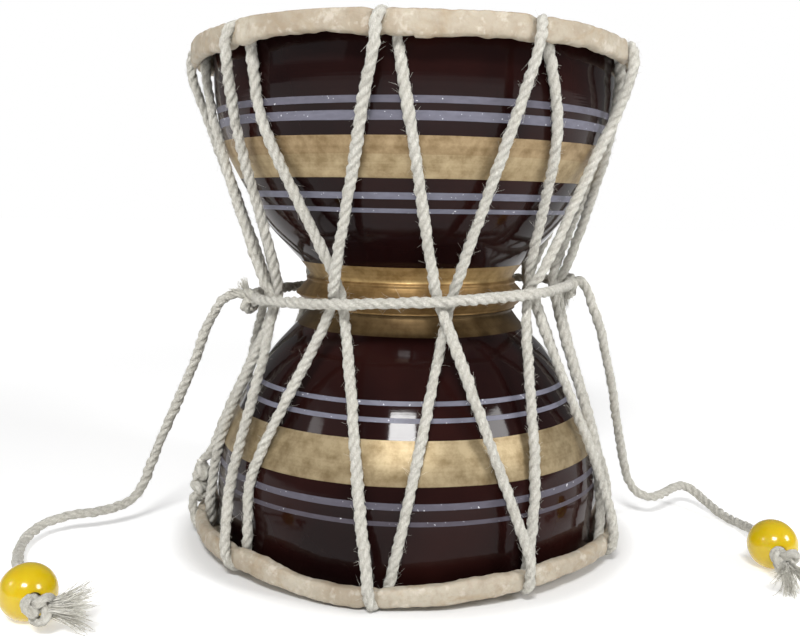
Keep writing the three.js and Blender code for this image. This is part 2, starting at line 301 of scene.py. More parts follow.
# Lacquered body.
body = {
    "waistHeight": 86.5,
    # radius and height along each rim: from the hollow outwards, and from outside inwards
    "lowerEdge": [(62.5, 1.2), (64.8, 1.2), (67.0, 1.9), (68.4, 3.3)],
    "upperEdge": [(68.4, 166.9), (68.2, 167.45), (67.7, 167.7), (62.5, 167.7)],
    # height from the waist and radius: the bowls outside, the ring between them, the hollow
    "bowl": [(6.4, 35.9), (9.6, 38.3), (14.2, 42.6), (20.8, 48.6), (28.9, 54.3), (37.5, 59.2),
             (47.5, 64.2), (55.3, 66.2), (65, 67.6)],
    "ring": [(0, 40.4), (0.35, 40.35), (0.6, 39.9), (0.8, 39.6), (2.4, 38.2), (3.9, 36.6), (4.2, 36.45),
             (4.45, 36.75), (4.75, 36.75), (5.0, 36.4), (5.4, 35.5)],
    "hollow": [(0, 24), (10, 27), (28, 44), (44, 55.5), (58, 61)],
    "bowlFoot": (4.9, 35.4),  # where a bowl begins for the cords that keep clear of it
    "bowlStep": 1.6,
    "hollowStep": 4,
    "ringDrop": 0.7,  # how far the ring's ridges sit below the waist's middle
    "segments": 320,
    # painted circles: lowest and highest edge above the base
    "lines": [(144.5, 146.15), (140.1, 142.6), (118.0, 119.6), (114.1, 115.5),
              (56.1, 57.4), (51.6, 53.0), (27.7, 29.85), (22.7, 24.2)],
    # painted thinner: lowest and highest edge, and how much of the ground shows through
    "thinLines": [((143.5, 147.0), 0.30), ((139.5, 143.2), 0.15), ((27.0, 30.5), 0.45), ((22.0, 25.0), 0.6)],
    "goldBands": [(123.9, 135.7), (74.9, 96.4), (34.0, 47.1)],
    # the gold is tinted in steps: the waist's upper part lighter, as painted light from below; the waist's
    # middle and its lower cove darker, and the upper band's top darker, as painted shade; the lower band a
    # little darker all over; lowest and highest edge, and tint
    "goldLightAndShadeTints": [((91.2, 97.0), (1.1, 0.98, 0.74)), ((81.2, 91.2), (0.74, 0.60, 0.42)),
                  ((74.5, 81.2), (0.27, 0.225, 0.17)), ((33.5, 47.6), (0.86, 0.87, 0.88)),
                  ((130.3, 136.2), (0.88, 0.83, 0.80))],
    # the waist's gold is painted darker to the sides as painted shade: metres out where that starts and ends,
    # and how much
    "waistSideShade": (0.024, 0.046, 0.45),
    "grooves": [(67.6, 68.0), (105.0, 105.4)],
    "maroonDark": (0.0075, 0.0025, 0.0025),
    "maroonLight": (0.020, 0.0055, 0.0045),
    "lineColour": (0.155, 0.155, 0.195),
    "speckColour": (0.62, 0.62, 0.66),
    "goldDark": (0.23, 0.165, 0.085),
    "goldLight": (0.42, 0.33, 0.197),
    # painted shade at the waist's sides
    "waistSideShadeColour": (0.02, 0.014, 0.008),
    "roughness": (0.045, 0.30, 0.40, 0.04),  # bare, and what lines, gold and clouds add
    "metallic": 0.6,
    "tallest": 170.0,  # the height that the paint's masks run over
}


def bandMask(tree, height, bands):
    stops = [(0.0, 0.0)]
    for low, high in sorted(bands):
        stops += [(low / body["tallest"], 1.0), (high / body["tallest"], 0.0)]
    return ramp(tree, height, stops, "CONSTANT")


def makeLacquer():
    material, tree, shader = startMaterial("lacqueredWood", Specular_IOR_Level=0.13, IOR=1.5)
    place = objectPlace(tree)
    axes = addNode(tree, "ShaderNodeSeparateXYZ", {"Vector": place}).outputs
    # the painter's hand: each edge wanders by a fraction of a millimetre
    wander = timesPlus(tree, noiseFac(tree, stretch(tree, place, (22, 22, 160)), 1.0, 3.0), 0.0007, -0.00035)
    painted = times(tree, maths(tree, "ADD", axes["Z"], wander), 1000 / body["tallest"])
    lineMask = bandMask(tree, painted, body["lines"])
    goldMask = bandMask(tree, painted, body["goldBands"])
    grooveMask = bandMask(tree, painted, body["grooves"])
    latheMarks = noiseFac(tree, stretch(tree, place, (4, 4, 900)), 1.0, 4.0, 0.6)
    cloudy = noiseFac(tree, place, 26, 3.0)
    maroon = mixColour(tree, rise(tree, cloudy, 0.35, 0.7), body["maroonDark"], body["maroonLight"])
    mottled = noiseFac(tree, place, 210, 4.0, 0.65)
    goldTone = timesPlus(tree, latheMarks, 0.35, times(tree, cloudy, 0.4))
    goldTone = timesPlus(tree, mottled, 1.3, maths(tree, "SUBTRACT", goldTone, 0.5))
    gold = mixColour(tree, rise(tree, goldTone, 0.3, 0.75), body["goldDark"], body["goldLight"])
    # painted shade: the waist's gold darkened towards its sides
    ends = mapRange(tree, maths(tree, "ABSOLUTE", axes["X"]), *body["waistSideShade"])
    ends = times(tree, ends, bandMask(tree, painted, [body["goldBands"][1]]))
    gold = mixColour(tree, ends, gold, body["waistSideShadeColour"])
    # painted light and shade: the waist's gold lighter above and darker round the ring and below it, and the
    # upper band darker at its top
    for edges, tint in body["goldLightAndShadeTints"]:
        tinted = mixColour(tree, 1.0, gold, tint, "MULTIPLY")
        gold = mixColour(tree, bandMask(tree, painted, [edges]), gold, tinted)
    speck = rise(tree, noiseFac(tree, place, 1100, 1.0), 0.715, 0.75)
    streaks = noiseFac(tree, stretch(tree, place, (300, 300, 900)), 1.0, 3.0)
    darkLine, paleLine = (tuple(share * c for c in body["lineColour"]) for share in (0.7, 1.3))
    wornLine = mixColour(tree, streaks, darkLine, paleLine)
    for edges, share in body["thinLines"]:
        thin = times(tree, bandMask(tree, painted, [edges]), share)
        wornLine = mixColour(tree, thin, wornLine, body["maroonLight"])
    wornLine = mixColour(tree, speck, wornLine, body["speckColour"])
    colour = mixColour(tree, lineMask, maroon, wornLine)
    colour = mixColour(tree, goldMask, colour, gold)
    bare, byLines, byGold, byClouds = body["roughness"]
    rough = timesPlus(tree, lineMask, byLines, bare)
    rough = timesPlus(tree, goldMask, byGold, rough)
    rough = timesPlus(tree, cloudy, byClouds, rough)
    metal = times(tree, goldMask, body["metallic"])
    raised = maths(tree, "MAXIMUM", lineMask, goldMask)
    grain = noiseFac(tree, place, 1500, 2.0)
    relief = timesPlus(tree, latheMarks, 0.35, times(tree, raised, 0.6))
    relief = timesPlus(tree, times(tree, grain, goldMask), 0.35, relief)
    relief = timesPlus(tree, noiseFac(tree, place, 160, 2.0), 0.5, relief)
    relief = timesPlus(tree, grooveMask, -1.5, relief)
    finishMaterial(tree, shader, Base_Color=colour, Roughness=rough, Metallic=metal,
                   Normal=bump(tree, relief, 0.35, 0.00012))
    return material


def makeBody():
    # One closed profile spun round: up the outside from the lower rim, over the upper
    # rim and down the hollow, with each bowl smoothed between its listed heights.
    waist = body["waistHeight"]
    bowl = smoothPath([(r, z) for z, r in body["bowl"]], body["bowlStep"])
    ring = np.array([(r, z) for z, r in body["ring"]], float)
    drop = np.outer(body["ringDrop"] * (1 - (ring[:, 1] / ring[-1, 1]) ** 4), [0, 1])
    upperSide = np.vstack([ring - drop, bowl]) + [0, waist]
    lowerSide = (np.vstack([ring[1:] + drop[1:], bowl]) * [1, -1] + [0, waist])[::-1]
    hollow = smoothPath([(r, z) for z, r in body["hollow"]], body["hollowStep"])
    upperHollow = (hollow + [0, waist])[::-1]
    lowerHollow = hollow[1:] * [1, -1] + [0, waist]
    profile = np.vstack([body["lowerEdge"], lowerSide, upperSide,
                         body["upperEdge"], upperHollow, lowerHollow])
    makeMesh("drumBody", spun(profile, body["segments"]), makeLacquer(), ["body"])


makeBody()
print("body made")

# Drum skins.
skins = {
    "rollTop": 168.5,
    "rollBottom": 2.5,
    "upperProud": 0.4,  # how far the face stands out beyond its roll
    "lowerProud": 2.5,
    "upperRollHeight": 6.7,
    "lowerRollHeight": 5.7,
    "thickness": 0.9,
    "segments": 900,
    "rollMiddle": (73.0, 3.7),  # radius, and depth from the roll's end
    "rollStart": (70.6, 1.4),  # radius where the roll begins, and over how much it comes in
    "outerStart": (72.6, 2.0),  # the same for its outer side
    "turnRadius": 74,  # where distances round the roll are measured
    "ropeDent": 0.7,
    "ropeDentTop": 1.9,  # further dent where a turn of cord bends over the roll
    "ropeDentWidth": 1.9,
    # height, distance from a turn's middle, and width
    "swell": (0.12, 4.0, 1.8),
    "crease": (0.5, 1.9, 0.45),
    "pull": (0.16, 0, 5),
    "lumps": [(0.24, 11), (0.2, 3.2), (0.12, 1.3)],  # height and size
    "ragged": [(0.4, 13), (0.25, 2.6)],  # the same for the edge by the bowl, sized in degrees
    "least": 0.02,  # all but the flat face keeps this far behind it
    "dark": (0.32, 0.262, 0.19),
    "light": (0.46, 0.415, 0.335),
    "stain": (0.29, 0.205, 0.11),
    "speck": (0.26, 0.20, 0.14),
    "pale": (0.68, 0.63, 0.55),
    # uneven rolls: angle, then how far the edge by the face and the edge by the bowl are raised
    "upperEdges": [(-90, -1.0, -1.0), (-52, -0.6, -1.1), (-40, 0.3, 0), (-34, 0.6, 0.6), (-24, 1.1, 1.0),
                   (-14, 0.7, 0.5), (-2, 0, -0.5), (8, 0, 0), (20, 0.5, 0.3), (36, 0.3, 0.8),
                   (43, 0.2, 0.6), (50, -0.3, -0.7), (63, -1.1, -0.9), (90, -0.5, -0.5), (140, 0.5, 0),
                   (180, -0.4, 0.3), (225, 0.4, -0.4)],
    "lowerEdges": [(-90, 0.5, 1.0), (-43, 1.3, 2.2), (-35, 0.5, 1.9), (-31, 0.2, 0.8), (-25, -0.9, -0.6),
                   (-17, -1.4, -1.4), (-10, -1.6, -1.4), (-2, -1.1, -1.0), (4, -0.7, -0.2),
                   (9, -0.2, 0.4), (16, 0.3, 1.3), (22, 0.7, 1.9), (31, 1.7, 1.4), (38, 2.2, 2.3),
                   (46, 2.2, 2.0), (70, 1.2, 1.0), (90, 0.5, 0.5), (140, -0.6, 0.4), (180, 0.4, -0.5),
                   (225, -0.3, 0.5)],
}
lacing = {
    "points": 10,
    "firstAngle": -80.5,
    "pointStep": 36,
    "crossingTurn": 19.5,
    "crossingRadius": 50.6,
    "crossingOffset": 2.1,
    "legTurnPerHeight": 0.33,
    "waistGrip": 0.45,
    "bowlClearance": 1.75,
    "shoulderHeights": [58, 47],
    "crossingLifts": [6, 6, -6, 6, 6, -6, 6, -6, 6, -6],
    # one turn round a roll: angle from the lacing point, radius, height below the roll's end
    "wrap": [(4.7, 70.35, 9.4), (3.7, 70.3, 4.5), (2.1, 70.9, 1.9), (1.0, 73, 1.0), (0.2, 75.2, 2.0),
             (-0.4, 76.25, 4.8), (-0.8, 76.2, 9.2)],
    # the lacing is pulled by hand: turns slip round the rolls, behind and in front, in degrees,
    # and legs slip over the upper bowl, at the waist and over the lower bowl
    "upperSlips": {0: (-1.0, -7.0), 1: (-2.4, -0.6), 2: (0.2, 1.0), 3: (0.4, -0.4), 4: (0, -1.5)},
    "lowerSlips": {1: (-5.0, -2.4), 2: (0.5, 0.9), 3: (-0.4, 2.0)},
    "fallingSlips": {0: (-1.7, 0, -1.5), 1: (-0.65, -0.6, -4.2), 2: (0.55, 1.4, 0.3), 3: (4.0, 1.5, 0.6)},
    "risingSlips": {0: (-1.0, -3.0, -3.0), 1: (-2.5, -2.0, -0.5), 2: (0.0, 0.0, 0.4), 3: (2.0, 2.4, 3.2)},
    "lowerWrapDrop": (1.7, 4.8),  # how much lower turns hang under the lower roll, fading out by this drop
    "lowest": 2.05,  # least height of a turn's middle line
    "waistCordLifts": (0.5, 3, 0.7),  # above the waist's middle, and more to the right and to the front
    "waistCordRadius": 55.3,
    "waistEndRadius": 54.7,
    "waistTurn": 2.6,
    "leftKnotAngle": -80,
    "rightKnotAngle": 92,
    "knotTurn": 6,
    # where each pass is tied: height, radius, degrees from its lacing point, and half its run
    "knotHeight": 18.8,
    "knotRadius": 73.6,
    "knotBack": 2,
    "knotRun": 6.6,
}
lacingAngles = lacing["firstAngle"] + lacing["pointStep"] * np.arange(lacing["points"])


def named(upper, what):
    # The name of a value that the upper and the lower head each have.
    return ("upper" if upper else "lower") + what


def wrapSlips(upper):
    # How far each turn has slipped round its roll: behind it, and in front of it.
    slips = lacing[named(upper, "Slips")]
    return np.array([slips.get(index, (0, 0)) for index in range(lacing["points"])], float).T


def makeSkinMaterial():
    material, tree, shader = startMaterial("drumSkin", Specular_IOR_Level=0.3, Subsurface_Weight=0.12,
                                           Subsurface_Scale=0.002)
    shader.inputs["Subsurface Radius"].default_value = (1.0, 0.6, 0.4)
    place = objectPlace(tree)
    broad = noiseFac(tree, place, 34, 4.0, 0.6, 0.6)
    patches = noiseFac(tree, stretch(tree, place, (60, 60, 90)), 1.0, 5.0, 0.65, 1.2)
    fine = noiseFac(tree, place, 420, 3.0, 0.6)
    worn = noiseFac(tree, place, 260, 3.0, 0.6)
    colour = mixColour(tree, rise(tree, broad, 0.35, 0.65), skins["dark"], skins["light"])
    colour = mixColour(tree, times(tree, rise(tree, patches, 0.5, 0.72), 0.65), colour, skins["stain"])
    colour = mixColour(tree, times(tree, rise(tree, fine, 0.48, 0.72), 0.4), colour, skins["speck"])
    colour = mixColour(tree, times(tree, rise(tree, worn, 0.56, 0.68), 0.35), colour, skins["pale"])
    relief = timesPlus(tree, fine, 0.6, times(tree, noiseFac(tree, place, 120, 4.0), 1.2))
    rough = timesPlus(tree, broad, 0.2, 0.5)
    finishMaterial(tree, shader, Base_Color=colour, Roughness=rough, Normal=bump(tree, relief, 0.8, 0.0007))
    return material


skinMaterial = makeSkinMaterial()


def rollShift(upper, angles, share):
    # How far a roll is raised at these angles, share 0 at its edge by the face and 1 by the bowl.
    turn, outer, inner = np.array(skins[named(upper, "Edges")], float).T
    byFace, byBowl = (np.interp(angles, turn, edge, period=360) for edge in (outer, inner))
    return byFace * (1 - share) + byBowl * share


def headProfile(proud, high):
    # Radius and depth from the flat face: across the skin, round the roll and back under it.
    inner = 71.0
    shoulder = 70 - 1.6 * proud
    over = [(shoulder - 3, 0), (shoulder, 0.05), (71.0, max(proud - 0.15, 0.1)), (73.2, proud - 0.05),
            (74.5, proud + 0.1), (74.95, proud + 0.6), (75.1, proud + 1.6), (75.2, proud + 4)]
    under = [(75.05, proud + high - 1.1), (74.6, proud + high - 0.3), (73.6, proud + high),
             (72.2, proud + high - 0.1), (71.4, proud + high - 0.9), (inner, proud + 3.2),
             (inner - 0.3, proud + 1.4), (shoulder - 0.4, skins["thickness"])]
    bend = smoothPath([*over, *under], 0.45)
    flat = np.array([(r, 0) for r in np.linspace(2, shoulder - 6, 16)])
    back = np.array([(r, skins["thickness"]) for r in np.linspace(shoulder - 4, 2, 10)])
    return np.vstack([flat, bend, back])


def hump(values, shape):
    height, centre, width = shape
    return height * np.exp(-((values - centre) / width) ** 2)


def makeHead(name, upper, seed):
    # The profile spun round, then the roll pressed in under each turn of cord, swollen
    # beside it, and made uneven with noise that leaves the flat face alone.
    proud = skins[named(upper, "Proud")]
    high = skins[named(upper, "RollHeight")]
    profile = headProfile(proud, high)
    behind, front = wrapSlips(upper)
    angles = np.arange(skins["segments"]) * 360 / skins["segments"]
    radius = np.repeat(profile[:, :1], len(angles), 1)
    depth = np.repeat(profile[:, 1:], len(angles), 1)
    middleRadius, middleDepth = skins["rollMiddle"]
    outward = np.stack([radius - middleRadius, depth - (proud + middleDepth)], -1)
    outward /= np.maximum(np.linalg.norm(outward, axis=-1), 0.01)[..., None]
    (rollStart, rollOver), (outerStart, outerOver) = skins["rollStart"], skins["outerStart"]
    onRoll = np.clip((radius - rollStart) / rollOver, 0, 1)
    outside = np.clip((radius - outerStart) / outerOver, 0, 1)
    # where the cord runs at this place of the roll, as an angle from its lacing point
    under = np.where(radius < outerStart, np.clip((depth - proud - 1) / 5, 0, 1) * 1.6, 0)
    cordTurn = 1.3 - 1.9 * outside + under
    slip = behind * (1 - outside[..., None]) + front * outside[..., None]
    apart = (angles[None, :, None] - lacingAngles - slip - cordTurn[..., None] + 180) % 360 - 180
    apart = np.radians(apart) * skins["turnRadius"]
    nearest = np.take_along_axis(apart, np.abs(apart).argmin(-1)[..., None], -1)[..., 0]
    topDent = (skins["ropeDentTop"] if upper else 0) * np.clip(-outward[..., 1], 0, 1) ** 2
    dent = hump(nearest, (skins["ropeDent"] + topDent, 0, skins["ropeDentWidth"]))
    swell = hump(np.abs(nearest), skins["swell"])
    crease = hump(nearest, skins["crease"]) * outside
    place = polar(angles[None, :], radius, depth)
    lumps = sum(tall * valueNoise(place, size, seed + index)
                for index, (tall, size) in enumerate(skins["lumps"]))
    ragged = sum(tall * lineNoise(angles, size, seed + 3 + index)
                 for index, (tall, size) in enumerate(skins["ragged"]))
    lowEdge = np.clip((depth - proud - 4) / 3, 0, 1) * onRoll
    shift = (-dent + swell - crease + lumps) * onRoll
    radius = radius + outward[..., 0] * shift
    depth = depth + outward[..., 1] * shift + lowEdge * ragged[None, :]
    # shallow pulls run inwards over the face from each lacing point
    pull = hump(nearest, skins["pull"]) * np.clip((radius - 55) / 14, 0, 1) * (1 - onRoll)
    depth = np.maximum(depth + np.where(depth < skins["thickness"] * 0.5, pull, 0), 0)
    raised = rollShift(upper, angles[None, :], np.clip((depth - proud) / high, 0, 1))
    behindFace = depth > skins["least"]
    raised = raised * np.clip((profile[:, :1] - 67.5) / 3.5, 0, 1) * behindFace
    depth = np.maximum(depth + raised * (-1 if upper else 1), skins["least"] * behindFace)
    height = (skins["rollTop"] + proud - depth) if upper else depth
    points = polar(angles[None, :], radius, height)
    rows, columns = points.shape[:2]
    points = np.vstack([points.reshape(-1, 3), [(0, 0, height[0, 0]), (0, 0, height[-1, 0])]])
    quads, triangles = tubeQuads(rows, columns), endFans(rows, columns)
    if upper:  # the profile runs outwards and then down, so its faces are turned round
        quads, triangles = quads[:, ::-1], triangles[:, ::-1]
    makeMesh(name, (points, quads, triangles), skinMaterial, [named(upper, "_head")])


makeHead("upperSkin", True, 11)
makeHead("lowerSkin", False, 31)
print("skins made")

# Twisted cotton cord.
cord = {
    "thickness": 3.2,
    "radius": 1.72,  # to the strands' crowns, which stand a little proud of the cord's thickness
    "lay": 10.4,
    "strands": 3,
    "sidesPerStrand": 7,
    "ringStep": 0.7,
    "strandReach": 0.35,  # of the radius: how far each strand's middle lies from the cord's
    "thickUneven": 0.07,
    "strandUneven": 0.11,
    "rough": 0.2,
    "roughSize": 0.9,
    "endBulge": 0.4,
    "pale": (0.76, 0.74, 0.675),
    "dull": (0.50, 0.48, 0.41),
    # dark colour for both the painted shade in the grooves and the dirty flecks
    "grimeAndShade": (0.25, 0.22, 0.17),
}


def makeCordMaterial():
    material, tree, shader = startMaterial("cottonCord", Roughness=0.95, Specular_IOR_Level=0.15,
                                           Sheen_Weight=0.25, Sheen_Roughness=0.6)
    uv = addNode(tree, "ShaderNodeUVMap", uv_map="along").outputs["UV"]
    place = objectPlace(tree)
    parts = addNode(tree, "ShaderNodeSeparateXYZ", {"Vector": uv}).outputs
    # u turns round the cord with its strands, so u + v * circumference / lay stays put along
    # the cord's own line: fibres are long that way and fine across it
    level = timesPlus(tree, parts["Y"], 2 * math.pi * cord["radius"] / cord["lay"], parts["X"])
    strand = times(tree, parts["X"], cord["strands"])
    grain = {"X": times(tree, level, 30), "Y": times(tree, parts["Y"], 9),
             "Z": times(tree, maths(tree, "FLOOR", strand), 7.3)}
    grainPlace = addNode(tree, "ShaderNodeCombineXYZ", grain).outputs[0]
    fibres = noiseFac(tree, grainPlace, 1.0, 5.0, 0.7, 1.4)
    # how near a groove between two strands: 0 on a strand's crown, 1 in the groove, which gets painted shade
    beside = maths(tree, "ABSOLUTE", maths(tree, "SUBTRACT", maths(tree, "FRACT", strand), 0.5))
    groove = rise(tree, timesPlus(tree, fibres, 0.35, beside), 0.40, 0.72)
    blotches = rise(tree, noiseFac(tree, place, 90, 3.0, 0.6), 0.5, 0.8)
    flecks = rise(tree, noiseFac(tree, place, 700, 4.0, 0.75), 0.52, 0.66)
    colour = mixColour(tree, rise(tree, fibres, 0.38, 0.60), cord["dull"], cord["pale"])
    colour = mixColour(tree, times(tree, blotches, 0.35), colour, cord["dull"])
    # painted shade in the grooves between strands; the flecks after it are dirt
    colour = mixColour(tree, times(tree, groove, 0.26), colour, cord["grimeAndShade"])
    colour = mixColour(tree, times(tree, flecks, 0.45), colour, cord["grimeAndShade"])
    finishMaterial(tree, shader, Base_Color=colour, Normal=bump(tree, fibres, 1.0, 0.0006))
    return material


cordMaterial = makeCordMaterial()


def makeCord(name, shape, *replaced):
    return makeMesh(name, shape, cordMaterial, replaced)


def ringFrames(path):
    # Tangents, and a pair of axes across the path that is carried on from ring to ring
    # without turning about it.
    along = unit(np.gradient(path, axis=0))
    start = np.cross(along[0], [0, 0, 1.0])
    if np.linalg.norm(start) < 0.2:
        start = np.cross(along[0], [0, 1.0, 0])
    side = start / np.linalg.norm(start)
    sides = np.empty_like(path)
    for index, heading in enumerate(along):
        side = side - heading * side.dot(heading)
        side = side / math.sqrt(side.dot(side))
        sides[index] = side
    return along, sides, np.cross(along, sides)


def cordSection():
    # Distance from the cord's middle to the strands' surface: for an angle a from a
    # strand's own middle, reach cos a + sqrt(rest^2 - reach^2 sin^2 a).
    count = cord["strands"] * cord["sidesPerStrand"]
    angle = (np.arange(count) / cord["sidesPerStrand"]) % 1
    turn = (angle - 0.5) * 2 * math.pi / cord["strands"]
    reach = cord["strandReach"]
    radius = reach * np.cos(turn) + np.sqrt((1 - reach) ** 2 - (reach * np.sin(turn)) ** 2)
    return np.arange(count) * 2 * math.pi / count, radius


def twistedCord(path, seed, thickness=1.0, phase=0.0):
    # The section carried along the path, turned once in each lay, a little uneven.
    along, sides, ups = ringFrames(path)
    reach = np.concatenate([[0], np.cumsum(np.linalg.norm(np.diff(path, axis=0), axis=1))])
    angles, section = cordSection()
    turn = phase + 2 * math.pi * reach[:, None] / cord["lay"] + angles[None, :]
    uneven = 1 + cord["thickUneven"] * lineNoise(reach, 11, seed)[:, None]
    strand = np.arange(len(angles)) // cord["sidesPerStrand"]
    strandNoise = np.stack([lineNoise(reach, 6, seed + 5 + k) for k in range(cord["strands"])], -1)
    uneven = uneven + cord["strandUneven"] * strandNoise[:, strand]
    radius = cord["radius"] * thickness * section[None, :] * uneven
    out = np.cos(turn)[..., None] * sides[:, None] + np.sin(turn)[..., None] * ups[:, None]
    rings = path[:, None] + radius[..., None] * out
    rings = rings + cord["rough"] * valueNoise(rings, cord["roughSize"], seed + 9)[..., None] * out
    rows, columns = rings.shape[:2]
    bulges = along[[0, -1]] * [[-cord["endBulge"]], [cord["endBulge"]]]
    points = np.vstack([rings.reshape(-1, 3), path[[0, -1]] + bulges])
    around = 2 * math.pi * cord["radius"]
    row, column = np.meshgrid(np.arange(rows - 1), np.arange(columns), indexing="ij")
    low, high = reach[row] / around, reach[row + 1] / around
    left, right = column / columns, (column + 1) / columns
    quadUv = np.stack([np.stack([left, low], -1), np.stack([right, low], -1),
                       np.stack([right, high], -1), np.stack([left, high], -1)], -2).reshape(-1, 2)
    capUv = np.tile([0.5, 0.0], (2 * columns * 3, 1))
    return points, tubeQuads(rows, columns), endFans(rows, columns), np.vstack([quadUv, capUv])


def joinShapes(shapes):
    # Several shapes of points, quads, triangles and uv put together as one.
    offset, parts = 0, []
    for points, quads, triangles, uv in shapes:
        parts.append((points, quads + offset, triangles + offset, uv[:quads.size], uv[quads.size:]))
        offset += len(points)
    points, quads, triangles, quadUv, triangleUv = (np.vstack(part) for part in zip(*parts))
    return points, quads, triangles, np.vstack([quadUv, triangleUv])


# Loose fibres.
def fibreShapes(starts, headings, bends, lengths, radius, steps=4):
    # Thin three-sided tapering tubes: start + heading * s + bend * s^2, s from 0 to 1.
    count = len(starts)
    share = np.linspace(0, 1, steps + 1)[None, :, None]
    bent = headings[:, None] * share + bends[:, None] * share ** 2
    line = starts[:, None] + bent * lengths[:, None, None]
    line[..., 2] = np.maximum(line[..., 2], 0.25)
    along = unit(np.gradient(line, axis=1))
    side = unit(np.cross(along, np.array([0.31, 0.17, 0.93])))
    up = np.cross(along, side)
    turn = np.arange(3) * 2 * math.pi / 3
    width = (np.broadcast_to(radius, (count,))[:, None] * (1 - 0.6 * share[..., 0]))[..., None, None]
    across = np.cos(turn)[:, None] * side[:, :, None] + np.sin(turn)[:, None] * up[:, :, None]
    rings = line[:, :, None] + width * across
    perFibre = (steps + 1) * 3
    quads = tubeQuads(steps + 1, 3)
    offsets = (np.arange(count) * perFibre)[:, None, None]
    allQuads = (quads[None] + offsets).reshape(-1, 4)
    ends = np.array([[2, 1, 0], [perFibre - 3, perFibre - 2, perFibre - 1]])
    allEnds = (ends[None] + offsets).reshape(-1, 3)
    corners = allQuads.size + allEnds.size
    uv = np.zeros((corners, 2))
    tone = np.repeat(np.random.default_rng(5).random(count), steps * 3 * 4)
    uv[:allQuads.size, 1] = tone * 40
    uv[:, 0] = 0.5
    return rings.reshape(-1, 3), allQuads, allEnds, uv


fuzz = {
    "perMillimetre": 7,
    "loose": 0.6,  # share that stands off the cord
    "radius": 0.055,
    "shortest": 0.6,
    "longest": 3.0,
}


def fuzzAlong(path, seed, share=1.0):
    # Most fibres lie nearly along the cord and lift off it a little; a few stand well out.
    random = np.random.default_rng(seed)
    along, sides, ups = ringFrames(path)
    total = np.linalg.norm(np.diff(path, axis=0), axis=1).sum()
    count = int(total * fuzz["perMillimetre"] * share)
    pick = random.integers(1, len(path) - 1, count)
    turn = random.random(count) * 2 * math.pi
    out = np.cos(turn)[:, None] * sides[pick] + np.sin(turn)[:, None] * ups[pick]
    loose = random.random(count) < fuzz["loose"]
    lift = np.where(loose, random.uniform(0.3, 1.4, count), random.uniform(-0.02, 0.16, count))
    starts = path[pick] + out * cord["radius"] * 0.86
    headings = unit(out * lift[:, None] + along[pick] * random.choice([-1, 1], count)[:, None]
                    + random.normal(0, 0.2, (count, 3)) * np.where(loose, 1.2, 1)[:, None])
    bends = random.normal(0, 0.2, (count, 3)) - out * np.where(loose, 0, 0.12)[:, None]
    growth = fuzz["longest"] - fuzz["shortest"]
    lengths = fuzz["shortest"] + growth * random.random(count) ** np.where(loose, 4, 1.5)
    return fibreShapes(starts, headings, bends, lengths, np.where(loose, 0.6, 1) * fuzz["radius"], 2)


# Lacing.
def bowlRadius(height):
    reach = np.abs(height - body["waistHeight"])
    heights, radii = zip(*[body["bowlFoot"], *body["bowl"][1:]])
    return np.interp(reach, heights, radii)


def waistCordHeight(angle):
    turn = math.radians(angle)
    lift, toRight, toFront = lacing["waistCordLifts"]
    return body["waistHeight"] + lift + toRight * math.sin(turn) + toFront * math.cos(turn)


def crossingAngle(crossing):
    return lacing["firstAngle"] + lacing["pointStep"] * crossing + lacing["crossingTurn"]


def clearOfBowl(point):
    slope = bowlRadius(point[2] + 0.5) - bowlRadius(point[2] - 0.5)
    least = bowlRadius(point[2]) + lacing["bowlClearance"] * math.hypot(1, slope)
    grow = max(1.0, least / math.hypot(point[0], point[1]))
    return point * [grow, grow, 1]


def wrapRoute(index, upper):
    # One turn of cord round a roll, from behind it to in front of it.
    index = index % lacing["points"]
    behind, front = wrapSlips(upper)
    share = np.linspace(0, 1, len(lacing["wrap"]))
    angles = lacingAngles[index] + behind[index] + (front[index] - behind[index]) * share
    high = skins[named(upper, "RollHeight")]
    lowerBy, fadedBy = lacing["lowerWrapDrop"]
    route = []
    for angle, (turn, radius, drop) in zip(angles, lacing["wrap"]):
        shift = rollShift(upper, angle, min(drop / high, 1))
        if upper:
            height = skins["rollTop"] - drop + shift
        else:
            sag = lowerBy * max(0, 1 - drop / fadedBy)
            height = max(skins["rollBottom"] + drop - sag + shift, lacing["lowest"])
        route.append(polar(angle + turn, radius, height))
    return route


def turned(point, angle):
    # The point carried round the drum's axis.
    turn = math.radians(angle)
    x, y, z = point
    return np.array([x * math.cos(turn) - y * math.sin(turn), y * math.cos(turn) + x * math.sin(turn), z])


def legRoute(start, end, crossing, side):
    # Straight from one roll to the waist cord and on to the other, bent over both bowls'
    # shoulders, and passing over or under the other pass beside the waist cord.
    index = crossing % lacing["points"]
    angle = crossingAngle(crossing)
    height = waistCordHeight(angle)
    lift = lacing["crossingLifts"][index]
    rising = math.copysign(1, end[2] - start[2])
    slips = lacing["risingSlips" if rising > 0 else "fallingSlips"]
    upperSlip, waistSlip, lowerSlip = slips.get(index, (0, 0, 0))
    outward = polar(angle, side * lacing["crossingOffset"], 0)
    waist = polar(angle + rising * lift * lacing["legTurnPerHeight"], lacing["crossingRadius"], height)

    def partWay(origin, target):
        return origin + (waist - origin) * (target - origin[2]) / (waist[2] - origin[2])

    def shoulders(origin, direction):
        slip = upperSlip if direction > 0 else lowerSlip
        return [turned(clearOfBowl(partWay(origin, body["waistHeight"] + direction * reach)), slip)
                for reach in lacing["shoulderHeights"]]

    after = rising * lift > 0
    crossed = turned(partWay(end if after else start, height + lift) + outward, waistSlip)
    gripped = turned(waist + outward * lacing["waistGrip"], waistSlip)
    middle = [gripped, crossed] if after else [crossed, gripped]
    return [*shoulders(start, -rising), *middle, *shoulders(end, rising)[::-1]]


